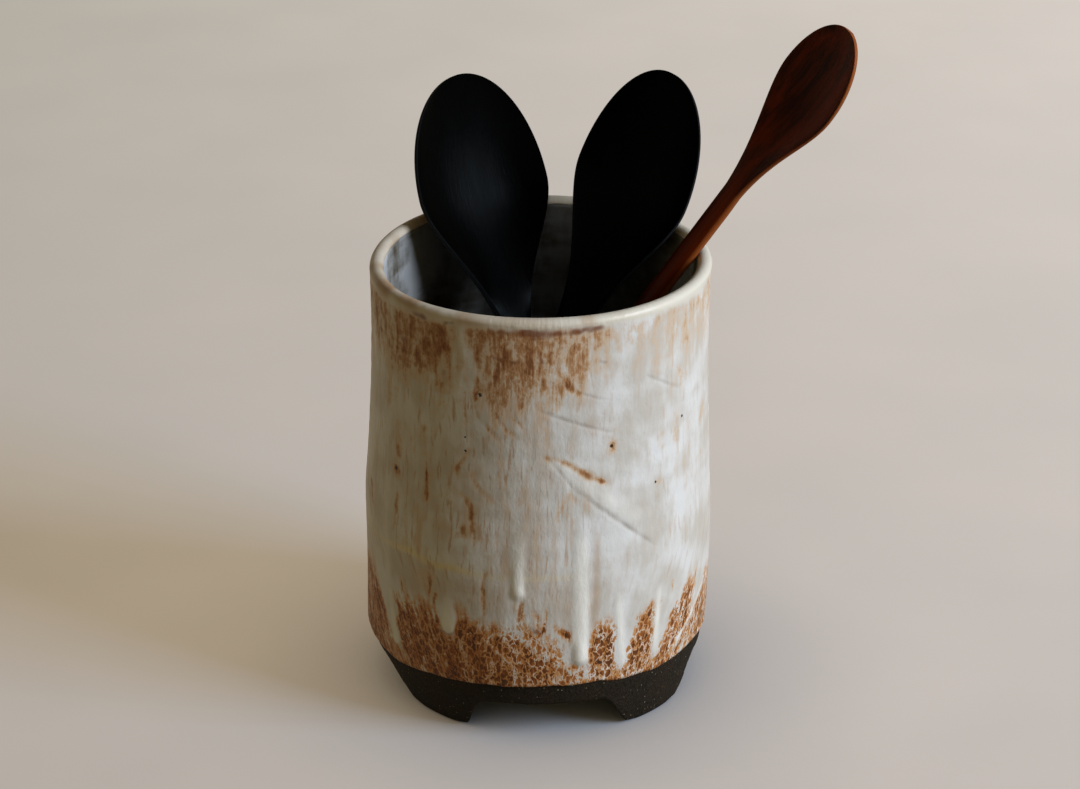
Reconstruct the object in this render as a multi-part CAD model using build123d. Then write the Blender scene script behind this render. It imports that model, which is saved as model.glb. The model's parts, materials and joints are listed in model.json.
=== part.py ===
"""Utensil crock: a hand-thrown stoneware jar on four cut feet, glazed but for its foot, with three wooden spoons.

The crock is turned on a wheel, so wall, floor and foot ring are one revolved piece of clay. Two low arches are
cut right through the foot ring, square to each other, and leave four feet. A dipped coat of glaze covers the
outside and the lip, with a few thick runs, and a poured liner coat covers the inside.
The spoons are carved from the solid. Each stands on the floor of the crock and leans back on its lip.

Millimetres, Z up, origin on the ground under the middle of the crock, front towards -Y.
"""

from build123d import *
import math
import os

import numpy as np

# Crock, outside of the clay
crock_height = 196.0
lip_diameter = 145.0
belly_diameter = 153.0
foot_diameter = 132.0
glaze_line_height = 26.0
belly_height = 54.0
shoulder_height = 90.0
shoulder_set_in = 1.3

# Crock, inside of the clay
wall_at_lip = 4.4
wall_at_floor = 6.5
floor_thickness = 6.0
floor_corner_radius = 9.0

# Foot ring and its four arches
arch_height = 17.5
arch_width = 68.0
arch_top_width = 53.0
arch_corner_radius = 4.5
arch_turn = 2.0
foot_ring_thickness = 8.0
underside_above_arch = 1.5
underside_corner_radius = 3.0
foot_edge_radius = 1.2

# Glaze
coat = 0.8
coat_edge_radius = 0.5
# Each run: angle from the front towards +X, width, and the shares of the glazed height where it starts and ends
glaze_runs = [
    dict(angle=14.0, width=5.6, start_share=0.461, end_share=0.093),
    dict(angle=-53.0, width=4.6, start_share=0.316, end_share=0.035),
    dict(angle=-28.4, width=4.4, start_share=0.323, end_share=0.156),
    dict(angle=28.5, width=4.0, start_share=0.216, end_share=0.078),
]
run_bead_share = 0.62
run_sunk_share = 0.24

# Spoons in the crock
seat_gap = 0.5
spoon_gap = 2.0
lift_travel = 215.0
steepest_lean = 4.0
flattest_lean = 48.0
seat_search_steps = 16
seat_points_per_curve = 5
foot_turn_step = 1.0
foot_turns = 40

# What each carved spoon measures, and where it stands and leans. Angles in degrees: foot_angle and lean_angle are
# counted from the back (+Y) towards +X, and roll turns the spoon about its own handle.
spoons = {
    "black_spoon_left": dict(
        length=259.6, bowl_length=116.4, widest_share=0.57, bowl_width=65.3, neck_width=11.8, butt_width=13.0,
        thickness=8.4, bowl_depth=9.5, bowl_wall=4.2, edge=2.4, scoop=12.0,
        foot_share=0.959, foot_angle=145.4, lean_angle=-30.4, roll=-4.4,
    ),
    "black_spoon_right": dict(
        length=260.9, bowl_length=115.3, widest_share=0.57, bowl_width=54.5, neck_width=14.2, butt_width=13.0,
        thickness=8.4, bowl_depth=8.5, bowl_wall=4.2, edge=2.4, scoop=29.7,
        foot_share=0.939, foot_angle=-97.9, lean_angle=59.5, roll=-31.8,
    ),
    "brown_spoon": dict(
        length=323.8, bowl_length=88.0, widest_share=0.65, bowl_width=40.6, neck_width=8.6, butt_width=7.2,
        thickness=7.0, bowl_depth=6.5, bowl_wall=3.2, edge=1.8, scoop=0.1,
        foot_share=0.96, foot_angle=-61.0, lean_angle=104.4, roll=-43.6,
    ),
}

# Shape of a spoon: sections along its handle, and from its neck to the widest part of its bowl
handle_station_shares = [0.0, 0.02, 0.1, 0.3, 0.55, 0.8, 0.93]
swell_station_shares = [0.0, 0.17, 0.34, 0.5, 0.66, 0.83]
tip_angles = [0.0, 22.0, 40.0, 56.0, 70.0, 80.0, 86.0]
butt_rounding_share = 0.72
neck_swell_power = 1.35
scoop_power = 1.7
scoop_run_share = 1.1
crown_share = 0.22
face_reach_share = 0.55
back_reach_share = 0.62
side_bulge_share = 0.5

# Working values of the crock
lip_radius = wall_at_lip / 2
lip_centre_height = crock_height - coat - lip_radius
outer_lip = lip_diameter / 2 - coat
outer_belly = belly_diameter / 2 - coat
outer_foot = foot_diameter / 2
outer_shoulder = outer_belly - shoulder_set_in
underside_height = arch_height + underside_above_arch
floor_height = underside_height + floor_thickness
past = floor_thickness


def outside_radius(height):
    """Outer radius of the clay at a height below the shoulder: an arc that stands upright at the belly."""
    end, drop = (outer_foot, belly_height) if height < belly_height else (outer_shoulder, shoulder_height - belly_height)
    inward = outer_belly - end
    curvature = 2 * inward / (inward**2 + drop**2)
    below = belly_height - height
    return outer_belly - curvature * below**2 / (1 + math.sqrt(1 - (curvature * below) ** 2))


def wall_points(depth_share, stand_off=0.0, bottom=0.0):
    """Bottom, belly, shoulder and lip of the wall: a share of the clay's thickness in from outside, and moved out."""
    stations = [
        (outside_radius(bottom), bottom),
        (outer_belly, belly_height),
        (outer_shoulder, shoulder_height),
        (outer_lip, lip_centre_height),
    ]
    thins = (wall_at_floor - wall_at_lip) / (lip_centre_height - floor_height)
    return [(r + stand_off - depth_share * (wall_at_lip + thins * (lip_centre_height - z)), z) for r, z in stations]


def wall_edges(points):
    """Three arcs from bottom to lip that run on into one another and stand upright at the belly."""
    bottom, belly, shoulder, lip = points
    lower = TangentArc(belly, bottom, tangent=(0, -1))
    upper = TangentArc(belly, shoulder, tangent=(0, 1))
    return [lower, upper, TangentArc(shoulder, lip, tangent=upper % 1)]


def turned(*edges):
    """A closed outline of radius and height, turned into a solid round the crock's axis."""
    outline = make_face(Wire(list(edges)))
    return revolve(Plane.XZ * outline, Axis.Z, revolution_arc=360)


def ring_edges(solid, radius, height):
    """The circular edges of a turned solid at one radius and height."""
    near = coat / 4
    circles = solid.edges().filter_by(GeomType.CIRCLE)
    return [e for e in circles if abs(e.arc_center.Z - height) < near and abs(e.radius - radius) < near]


def make_clay_body():
    """Wall, floor and foot ring, thrown in one piece, with the arches cut through the foot."""
    outside = wall_points(0.0)
    inside = wall_points(1.0, bottom=floor_height)
    ring_top = outside_radius(underside_height) - wall_at_floor
    ring_bottom = outer_foot - foot_ring_thickness
    lip_top = (outer_lip - lip_radius, lip_centre_height + lip_radius)
    clay = turned(
        *wall_edges(outside),
        ThreePointArc(outside[-1], lip_top, inside[-1]),
        *wall_edges(inside),
        Line(inside[0], (0.0, floor_height)),
        Line((0.0, floor_height), (0.0, underside_height)),
        Line((0.0, underside_height), (ring_top, underside_height)),
        Line((ring_top, underside_height), (ring_bottom, 0.0)),
        Line((ring_bottom, 0.0), outside[0]),
    )
    clay = fillet(ring_edges(clay, inside[0][0], floor_height), floor_corner_radius)
    clay = fillet(ring_edges(clay, ring_top, underside_height), underside_corner_radius)
    for turn in (0, 90):
        clay -= Rot(Z=arch_turn + turn) * make_arch_cutter()
    feet_edges = clay.edges().group_by(Axis.Z)[0]
    return fillet(feet_edges, foot_edge_radius)


def make_arch_cutter():
    """The space of two opposite arches, right through the foot ring."""
    half, top_half = arch_width / 2, arch_top_width / 2
    spread = (half - top_half) / arch_height * past
    outline = Polyline(
        (-half - spread, -past), (-top_half, arch_height), (top_half, arch_height), (half + spread, -past), close=True
    )
    face = make_face(outline)
    corners = face.vertices().group_by(Axis.Y)[-1]
    face = fillet(corners, arch_corner_radius)
    return extrude(Plane.XZ * face, amount=foot_diameter, both=True)


def make_outer_glaze(clay):
    """The dipped coat: outside and lip, ending in a soft edge above the feet, with its thick runs."""
    outside = wall_points(0.0, coat, glaze_line_height)
    middle = wall_points(0.5, bottom=glaze_line_height)
    over_lip = outer_lip - lip_radius
    inner_edge = (over_lip - lip_radius - coat, lip_centre_height)
    glaze = turned(
        *wall_edges(outside),
        ThreePointArc(outside[-1], (over_lip, lip_centre_height + lip_radius + coat), inner_edge),
        Line(inner_edge, middle[-1]),
        *wall_edges(middle),
        Line(middle[0], outside[0]),
    )
    glaze = fillet(ring_edges(glaze, outside[0][0], glaze_line_height), coat_edge_radius)
    for run in glaze_runs:
        glaze += make_run(**run)
    return glaze - clay


def make_run(angle, width, start_share, end_share):
    """One thick run of glaze down the wall: a round bar half sunk in the coat, with a bead at its foot."""
    rise = lip_centre_height - glaze_line_height
    start = glaze_line_height + start_share * rise
    end = glaze_line_height + end_share * rise
    sunk = width * run_sunk_share
    path_points = [(outside_radius(z) + coat - sunk, z) for z in (start, (start + end) / 2, end)]
    path = Plane.XZ * ThreePointArc(*path_points)
    bar = sweep(Plane(path @ 0, z_dir=path % 0) * Circle(width / 2), path)
    bar += Pos(path @ 0) * Sphere(width / 2)
    bar += Pos(path @ 1) * Sphere(width * run_bead_share)
    return Rot(Z=angle - 90) * bar


def make_liner_glaze(clay):
    """The poured coat on the inside wall and the floor. It meets the dipped coat inside the lip."""
    coat_floor = floor_height + coat
    inside = wall_points(1.0, -coat, coat_floor)
    middle = wall_points(0.5, bottom=floor_height)
    floor_middle = floor_height - floor_thickness / 2
    blank = turned(
        *wall_edges(middle),
        Line(middle[-1], (0.0, lip_centre_height)),
        Line((0.0, lip_centre_height), (0.0, floor_middle)),
        Line((0.0, floor_middle), (middle[0][0], floor_middle)),
        Line((middle[0][0], floor_middle), middle[0]),
    )
    above = lip_centre_height + past
    hollow = turned(
        *wall_edges(inside),
        Line(inside[0], (0.0, coat_floor)),
        Line((0.0, coat_floor), (0.0, above)),
        Line((0.0, above), (inside[-1][0], above)),
        Line((inside[-1][0], above), inside[-1]),
    )
    hollow = fillet(ring_edges(hollow, inside[0][0], coat_floor), floor_corner_radius - coat)
    return blank - hollow - clay


def spoon_stations(spoon):
    """Where the spoon is cut across: distance from its butt, half width, and how full its bowl is, from 0 to 1."""
    handle, bowl, widest = spoon["length"] - spoon["bowl_length"], spoon["bowl_length"], spoon["widest_share"]
    half_butt, half_neck, half_bowl = spoon["butt_width"] / 2, spoon["neck_width"] / 2, spoon["bowl_width"] / 2
    stations = []
    for share in handle_station_shares:
        half = half_butt + (half_neck - half_butt) * share
        slim = butt_rounding_share if share == 0 else 1
        stations.append((handle * share, half * slim, 0))
    for share in swell_station_shares:
        fullness = share * share * (3 - 2 * share)
        swell = share**neck_swell_power * (1 - share) + fullness * share
        stations.append((handle + bowl * widest * share, half_neck + (half_bowl - half_neck) * swell, fullness))
    for angle in tip_angles:
        along = widest + (1 - widest) * math.sin(math.radians(angle))
        round_off = math.cos(math.radians(angle))
        stations.append((handle + bowl * along, half_bowl * round_off, round_off**2))
    return stations


def spoon_section(spoon, x, half, fullness):
    """Control points of the four curves round one section, across and up: face, right side, back, left side.

    The handle is a crowned oval. In the bowl the face sags into a hollow, the back hangs below it by the wall of
    the bowl, and the sides narrow to its rim. The rim lifts towards the tip.
    """
    scoop_start = spoon["length"] - scoop_run_share * spoon["bowl_length"]
    rim = spoon["scoop"] * max(0, (x - scoop_start) / (spoon["length"] - scoop_start)) ** scoop_power
    swell_length = spoon["bowl_length"] * (spoon["widest_share"] + scoop_run_share - 1)
    in_bowl = min(1, max(0, (x - scoop_start) / swell_length))
    slim = butt_rounding_share if x == 0 else 1
    crown = spoon["thickness"] * crown_share * slim * (1 - in_bowl)
    handle_side = spoon["thickness"] * (1 - 2 * crown_share) * slim
    side = handle_side + (spoon["edge"] - handle_side) * in_bowl
    sag = spoon["bowl_depth"] * fullness - crown
    belly = spoon["edge"] * crown_share * in_bowl + crown
    belly += (spoon["bowl_depth"] + spoon["bowl_wall"] - spoon["edge"]) * fullness
    to_control = 4 / 3
    face = rim - sag * to_control
    under = rim - side
    back = under - belly * to_control
    bulge = half + side * side_bulge_share
    return [
        [(-half, rim), (-half * face_reach_share, face), (half * face_reach_share, face)],
        [(half, rim), (bulge, rim - side / 2)],
        [(half, under), (half * back_reach_share, back), (-half * back_reach_share, back)],
        [(-half, under), (-bulge, rim - side / 2)],
    ]


def closed_curves(rows):
    """The section's curves as lists of control points, each ending where the next one starts."""
    return [row + following[:1] for row, following in zip(rows, rows[1:] + rows[:1])]


def make_spoon_blank(spoon):
    """The carved spoon, lofted along X from the butt of its handle to the tip of its bowl, hollow side to +Z."""
    faces = []
    for x, half, fullness in spoon_stations(spoon):
        curves = [Bezier(*curve) for curve in closed_curves(spoon_section(spoon, x, half, fullness))]
        faces.append(Plane(origin=(x, 0, 0), x_dir=(0, 1, 0), z_dir=(1, 0, 0)) * make_face(Wire(curves)))
    return loft(faces)


def spoon_points(spoon):
    """Points all over the spoon, with more between its sections, for finding where it comes to rest."""
    t = np.linspace(0, 1, seat_points_per_curve, endpoint=False)[:, None]
    rings = []
    for x, half, fullness in spoon_stations(spoon):
        ring = []
        for curve in closed_curves(spoon_section(spoon, x, half, fullness)):
            hull = [np.array(point) for point in curve]
            while len(hull) > 1:
                hull = [a * (1 - t) + b * t for a, b in zip(hull, hull[1:])]
            ring.append(hull[0])
        ring = np.concatenate(ring)
        rings.append(np.column_stack([np.full(len(ring), x), ring]))
    rings = np.array(rings)
    steps = np.linspace(0, 1, seat_search_steps)[:, None, None, None]
    return (rings[:-1] * (1 - steps) + rings[1:] * steps).reshape(-1, 3)


def lean_axes(lean_angle, lean, roll):
    """Directions of a leaning spoon, as rows: along its handle, across it, and out of its hollow face."""
    a, t, r = math.radians(lean_angle), math.radians(lean), math.radians(roll)
    along = np.array([math.sin(a) * math.sin(t), math.cos(a) * math.sin(t), math.cos(t)])
    facing = np.array([-math.sin(a) * math.cos(t), -math.cos(a) * math.cos(t), math.sin(t)])
    face = facing * math.cos(r) + np.cross(facing, along) * math.sin(r)
    return np.array([along, np.cross(face, along), face])


def stand_spoon(spoon, foot_angle, lean, points):
    """Foot point and axes of a spoon that stands on the glazed floor, and where its points come to."""
    axes = lean_axes(spoon["lean_angle"], lean, spoon["roll"])
    leaning = points @ axes
    flat_floor = outside_radius(floor_height) - wall_at_floor - floor_corner_radius
    reach = spoon["foot_share"] * flat_floor
    angle = math.radians(foot_angle)
    height = floor_height + coat + seat_gap - leaning[:, 2].min()
    foot = np.array([reach * math.sin(angle), reach * math.cos(angle), height])
    return foot, axes, leaning + foot


def clears_crock(points, along):
    """Whether the points keep the seat gap from wall and lip, at rest and all the way up the lift."""
    inner = np.array(wall_points(1, -coat, floor_height))
    lip_centre = outer_lip - lip_radius
    for lift in np.linspace(0, lift_travel, seat_search_steps):
        moved = points + along * lift
        radius, height = np.hypot(moved[:, 0], moved[:, 1]), moved[:, 2]
        inside = radius <= np.interp(height, inner[:, 1], inner[:, 0]) - seat_gap
        off_lip = np.hypot(radius - lip_centre, height - lip_centre_height) >= lip_radius + coat + seat_gap
        if not np.where(height <= lip_centre_height, inside, off_lip).all():
            return False
    return True


def seat_spoon(spoon, foot_angle, points):
    """The spoon at the lean where it comes to rest on the lip, found by halving the range of angles."""
    low, high = steepest_lean, flattest_lean
    for _ in range(seat_search_steps):
        lean = (low + high) / 2
        _, axes, placed = stand_spoon(spoon, foot_angle, lean, points)
        if clears_crock(placed, axes[0]):
            low = lean
        else:
            high = lean
    return stand_spoon(spoon, foot_angle, low, points)


def handle_gap(one, other):
    """Gap between two handles, across both of them, which stays the same as either spoon is lifted."""
    across = np.cross(one["axes"][0], other["axes"][0])
    across /= np.linalg.norm(across)
    a, b = one["handle"] @ across, other["handle"] @ across
    return max(a.min() - b.max(), b.min() - a.max())


def stand_all_spoons():
    """Each spoon in turn stands where it is named to, or as little round from there as clears the others."""
    standing = {}
    for name, spoon in spoons.items():
        points = spoon_points(spoon)
        on_handle = points[:, 0] < spoon["length"] - spoon["bowl_length"]
        for count in range(foot_turns):
            turn = foot_turn_step * (count + 1) // 2 * (-1) ** count
            foot, axes, placed = seat_spoon(spoon, spoon["foot_angle"] + turn, points)
            here = dict(foot=foot, axes=axes, handle=placed[on_handle])
            if all(handle_gap(here, there) >= spoon_gap for there in standing.values()):
                break
        standing[name] = here
        print(name, "turn", turn, "foot", np.round(foot, 3), "axis", np.round(axes[0], 6))
    return standing


os.makedirs("parts", exist_ok=True)
clay_body = make_clay_body()
pieces = {
    "clay_body": clay_body,
    "outer_glaze": make_outer_glaze(clay_body),
    "liner_glaze": make_liner_glaze(clay_body),
}
for name, standing in stand_all_spoons().items():
    along, _, face = standing["axes"]
    place = Plane(origin=tuple(standing["foot"]), x_dir=tuple(along), z_dir=tuple(face))
    pieces[name] = place.location * make_spoon_blank(spoons[name])
for name, piece in pieces.items():
    export_step(piece, f"parts/{name}.step")
    print(name, "volume", round(piece.volume), "valid", piece.is_valid)
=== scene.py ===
"""The utensil crock as it looks: hand-thrown dark stoneware under pale, broken glaze, with three spoons.

Millimetres are used throughout and turned to metres as each mesh is made. Angles on the crock are in
degrees, from its front (-Y) towards its right (+X). Heights are above the ground.
"""

import json
import math

import bmesh
import bpy
import numpy as np
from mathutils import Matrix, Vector


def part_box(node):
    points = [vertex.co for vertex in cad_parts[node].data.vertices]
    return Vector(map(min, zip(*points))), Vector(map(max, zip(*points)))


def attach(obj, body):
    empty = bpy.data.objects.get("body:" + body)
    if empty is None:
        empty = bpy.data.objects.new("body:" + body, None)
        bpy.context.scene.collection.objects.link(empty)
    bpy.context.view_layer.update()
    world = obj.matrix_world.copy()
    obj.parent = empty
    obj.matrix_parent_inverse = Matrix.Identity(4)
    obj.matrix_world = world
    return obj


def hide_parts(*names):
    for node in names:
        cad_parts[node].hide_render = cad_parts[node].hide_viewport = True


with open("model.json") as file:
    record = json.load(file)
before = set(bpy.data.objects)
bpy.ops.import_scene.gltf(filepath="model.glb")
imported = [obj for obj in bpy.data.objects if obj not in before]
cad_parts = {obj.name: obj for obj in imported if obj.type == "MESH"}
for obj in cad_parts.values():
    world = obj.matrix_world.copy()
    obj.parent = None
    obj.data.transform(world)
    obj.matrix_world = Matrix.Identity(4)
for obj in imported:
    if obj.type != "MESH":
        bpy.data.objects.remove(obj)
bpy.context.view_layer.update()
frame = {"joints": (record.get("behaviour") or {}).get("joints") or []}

# Clay body. One lump of dark, coarse stoneware, thrown on a wheel with its foot ring, and trimmed when
# leather-hard. Two low arches are cut with a wire right through the foot ring, square to each other, and
# leave four feet. Only the foot stays bare: everything above it is under the glazes.
mm = 0.001
foot_radius, belly_radius, lip_middle_radius = 66.0, 75.7, 69.5
belly_height, shoulder_height, shoulder_set_in = 54.0, 90.0, 1.3
lip_round, wall_at_lip, wall_at_floor = 2.2, 4.4, 6.5
lip_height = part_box("clay_body")[1].z / mm - lip_round
underside_height, floor_height, floor_corner = 19.0, 25.0, 9.0
arch_height, arch_half, arch_top_half, arch_turn = 17.5, 34.0, 28.3, 2.0
ring_thickness, foot_edge = 8.0, 1.2
glaze_line_height = 26.0
lattice_below, lattice_tall = 20, 260

# How far the thrower's wall stands off true towards the right, in mm, by height
drift_height, drift = [0, 15, 30, 45, 70, 110, 160, 196], [0.8, -1.0, -2.2, -2.6, -1.8, -0.9, -0.3, 0]


def eased(value, low, high):
    """0 below low, 1 above high, and a smooth step 3t squared minus 2t cubed between them."""
    t = np.clip((value - low) / (high - low), 0, 1)
    return t * t * (3 - 2 * t)


def mottle(angle, height, across, down, seed):
    """Blotches from 0 to 1: random values on a lattice of cells, across mm wide and down mm tall, that
    joins up round the crock. Between four corners the value is their mean, weighted by eased distances."""
    around, tall = max(3, round(2 * math.pi * belly_radius / across)), int(lattice_tall / down) + 3
    values = np.random.default_rng(seed).random((around, tall))
    u, v = np.broadcast_arrays(angle / 360 * around, (height + lattice_below) / down)
    column, row = np.floor(u).astype(int), np.floor(v).astype(int)
    here, beside = column % around, (column + 1) % around
    s, t = eased(u - column, 0, 1), eased(v - row, 0, 1)
    levels = (row % tall, (row + 1) % tall)
    low, high = (values[here, level] * (1 - s) + values[beside, level] * s for level in levels)
    return low * (1 - t) + high * t


def outside_radius(height):
    """Radius of the thrown clay: an arc that stands upright at the belly and draws in to the foot, a
    flatter one up to the shoulder, and a bend that runs on from it to the lip, the tangent there plus a
    share of height squared."""
    below = belly_height - height
    inward = np.where(below > 0, belly_radius - foot_radius, shoulder_set_in)
    drop = np.where(below > 0, belly_height, shoulder_height - belly_height)
    curvature, steepest = 2 * inward / (inward**2 + drop**2), 0.9
    bent = np.clip(curvature * below, -steepest, steepest)
    arcs = belly_radius - curvature * below**2 / (1 + np.sqrt(1 - bent**2))
    above = np.maximum(height - shoulder_height, 0)
    rise = lip_height - shoulder_height
    slope = 2 * shoulder_set_in / (shoulder_height - belly_height)
    shoulder = belly_radius - shoulder_set_in
    outer_lip = lip_middle_radius + lip_round
    bend = shoulder - slope * above + (outer_lip - shoulder + slope * rise) * (above / rise) ** 2
    return np.where(height > shoulder_height, bend, arcs)


def inside_radius(height):
    """Radius of the inside of the clay: the outside less a wall that thins evenly from floor to lip."""
    share = (height - floor_height) / (lip_height - floor_height)
    return outside_radius(height) - wall_at_floor + (wall_at_floor - wall_at_lip) * share


def hand_drift(angle, height):
    """How far the thrower's wall leans to the left or right of true: a few mm at the belly, none at the
    lip. It fades out on the left, where the belly would pass the widest radius."""
    lean = np.interp(height, drift_height, drift)
    room = outside_radius(np.clip(height, 0, lip_height)) - belly_radius
    left = np.clip(-np.sin(np.radians(angle)), 0, 1) ** 3
    return lean + (np.maximum(lean, room) - lean) * left


def lip_sink(angle):
    """How far the lip dips below level, in mm: a bell curve of the angle, deepest towards the left."""
    deepest, middle, spread = 2.3, -75, 42
    return deepest * np.exp(-(((angle - middle) / spread) ** 2))


def wobble(angle, height):
    """Uneven wall of a hand-thrown pot, in mm: broad dents, and shallow rings left by the fingers."""
    dent_depth, ring_depth, ring_pitch = 0.7, 0.07, 8.5
    dents = mottle(angle, height, 95, 60, 3) + 0.5 * mottle(angle, height, 38, 44, 4) - 0.75
    swing = height / ring_pitch * 2 * math.pi + 5 * mottle(angle, height, 60, 40, 5)
    rings = np.sin(swing) * mottle(angle, height, 80, 25, 6)
    return dent_depth * dents + ring_depth * rings


def lathe_points(angle, radius, height):
    """Points in metres: x is the radius times the angle's sine, y is minus the radius times its cosine."""
    angle, radius, height = np.broadcast_arrays(np.radians(angle), radius, height)
    return np.stack([radius * np.sin(angle), -radius * np.cos(angle), height], -1) * mm


def grid_faces(rows, columns, join_rows):
    """Four corner numbers a face, for a grid whose columns join all round, and its rows if join_rows."""
    row, column = np.arange(rows if join_rows else rows - 1)[:, None], np.arange(columns)
    below, beside = (row + 1) % rows, (column + 1) % columns
    corners = [row * columns + column, row * columns + beside]
    corners += [below * columns + beside, below * columns + column]
    return np.stack(np.broadcast_arrays(*corners), -1).reshape(-1, 4)


def make_piece(name, points, join_rows, body, node, slot, **fields):
    """A smooth mesh object of a grid of points, rows by columns, with a value or vector per point for each
    field. Points that fall together, as at a pole, are welded, and faces are turned outwards."""
    rows, columns = points.shape[:2]
    faces = grid_faces(rows, columns, join_rows)
    mesh = bpy.data.meshes.new(name)
    mesh.vertices.add(rows * columns)
    mesh.vertices.foreach_set("co", points.astype(np.float32).ravel())
    mesh.loops.add(faces.size)
    mesh.loops.foreach_set("vertex_index", faces.astype(np.int32).ravel())
    mesh.polygons.add(len(faces))
    mesh.polygons.foreach_set("loop_start", np.arange(0, faces.size, 4, dtype=np.int32))
    mesh.update(calc_edges=True)
    for field, values in fields.items():
        wide = values.ndim == 3
        attribute = mesh.attributes.new(field, "FLOAT_VECTOR" if wide else "FLOAT", "POINT")
        attribute.data.foreach_set("vector" if wide else "value", values.astype(np.float32).ravel())
    work = bmesh.new()
    work.from_mesh(mesh)
    bmesh.ops.remove_doubles(work, verts=work.verts, dist=weld_distance)
    bmesh.ops.recalc_face_normals(work, faces=work.faces)
    work.to_mesh(mesh)
    work.free()
    mesh.shade_smooth()
    piece = bpy.data.objects.new(name, mesh)
    bpy.context.scene.collection.objects.link(piece)
    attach(piece, body)
    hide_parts(node)
    return piece


def arch_rise(angle, radius):
    """Height of the cut edge of the foot ring: 0 on a foot, the arch's height in an arch, and a soft
    slanted side between. The two arches are cut square to each other, and the higher of them counts."""
    turned = np.radians(angle - arch_turn)
    soft_foot, soft_top, highest = 0.05, 0.22, 1.02
    rises = []
    for offset in (np.abs(radius * np.sin(turned)), np.abs(radius * np.cos(turned))):
        t = (arch_half - offset) / (arch_half - arch_top_half)
        ramp = soft_foot * np.logaddexp(0, t / soft_foot) - soft_top * np.logaddexp(0, (t - 1) / soft_top)
        rises.append(arch_height * np.clip(ramp, 0, highest))
    return np.maximum(*rises)


def foot_angles(count):
    """Column angles round the foot, drawn closer together where the arches' slanted sides are."""
    fine, crowding, level = np.linspace(-180, 180, 7201), 5, 0.2
    step = arch_rise(fine, foot_radius)
    weight = 1 + crowding * ((step > level) & (step < arch_height - level))
    travelled = np.concatenate([[0], np.cumsum((weight[1:] + weight[:-1]) / 2)])
    return np.interp(np.arange(count) / count * travelled[-1], travelled, fine)


weld_distance = 0.01 * mm
foot_columns, disc_rows, ring_rows, tread_rows, foot_wall_rows, hidden_rows = 560, 12, 10, 12, 42, 14
cut_depth, disc_rim, under_glaze, wall_seam = 0.35, 1.5, 0.3, glaze_line_height + 8

# Where the wire cut the ring's two edges, found in a few rounds, as radius and height hang together
angle = foot_angles(foot_columns)
rough = cut_depth * (mottle(angle, 0 * angle, 14, 50, 11) - 0.5)

ring_inner_top = outside_radius(underside_height) - wall_at_floor
ring_inner_foot = foot_radius - ring_thickness
inner, outer = np.full(foot_columns, ring_inner_foot), np.full(foot_columns, foot_radius)
for _ in range(4):
    inner_rise, outer_rise = arch_rise(angle, inner) + rough, arch_rise(angle, outer) + rough
    inner = ring_inner_foot + (ring_inner_top - ring_inner_foot) * inner_rise / underside_height
    outer = outside_radius(outer_rise)
inner_rise, outer_rise = np.maximum(inner_rise, 0), np.maximum(outer_rise, 0)

# The recessed underside, the inside of the ring, and its tread with rounded edges
share = np.linspace(0, 1, disc_rows)[:, None]
disc_radius = share * (ring_inner_top - disc_rim) + 0 * angle
disc_height = underside_height + 0 * disc_radius
share = np.linspace(0.04, 1, ring_rows)[:, None]
ring_height = underside_height + (inner_rise + foot_edge - underside_height) * share
ring_radius = ring_inner_foot + (ring_inner_top - ring_inner_foot) * ring_height / underside_height
share = np.linspace(-1, 1, tread_rows)[:, None]
half = (outer - inner) / 2
tread_radius = (outer + inner) / 2 + half * np.sin(share * math.pi / 2)
past_flat = np.clip((np.abs(tread_radius - (outer + inner) / 2) - half + foot_edge) / foot_edge, 0, 1)
tread_height = inner_rise + (outer_rise - inner_rise) * (share + 1) / 2
tread_height = tread_height + foot_edge * (1 - np.sqrt(1 - 0.999 * past_flat**2))

# The bare wall, and the rest in few rows a little under the glazes: wall, lip, inside, corner and floor
share = np.linspace(0.02, 1, foot_wall_rows)[:, None]
wall_start = outer_rise + foot_edge
bare_height = wall_start + (wall_seam - wall_start) * share
bare_radius = outside_radius(bare_height)
share = np.linspace(0.05, 1, hidden_rows)[:, None]
under_height = wall_seam + (lip_height - lip_sink(angle) - wall_seam) * share
under_radius = outside_radius(under_height) - under_glaze * eased(share, 0, 0.2)
lip_turn = np.radians(np.linspace(20, 160, 6))[:, None]
lip_radius = lip_middle_radius + (lip_round - under_glaze) * np.cos(lip_turn) + 0 * angle
lip_rise = lip_height - lip_sink(angle) + (lip_round - under_glaze) * np.sin(lip_turn)
inner_height = under_height[::-1]
inner_radius = inside_radius(inner_height) + under_glaze
corner_turn = np.radians(np.linspace(0, 90, 6))[:, None]
corner_radius = inside_radius(floor_height) - floor_corner * (1 - np.cos(corner_turn)) + 0 * angle
corner_height = floor_height + floor_corner * (1 - np.sin(corner_turn)) + 0 * angle
inner_height = np.maximum(inner_height, floor_height + floor_corner + 1)
floor_radius = np.linspace(0.85, 0, 6)[:, None] * (inside_radius(floor_height) - floor_corner) + 0 * angle
radius = np.concatenate(
    [disc_radius, ring_radius, tread_radius, bare_radius, under_radius]
    + [lip_radius, inner_radius, corner_radius, floor_radius]
)
height = np.concatenate(
    [disc_height, ring_height, tread_height, bare_height, under_height]
    + [lip_rise, inner_height, corner_height, floor_height + 0 * floor_radius]
)

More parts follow.
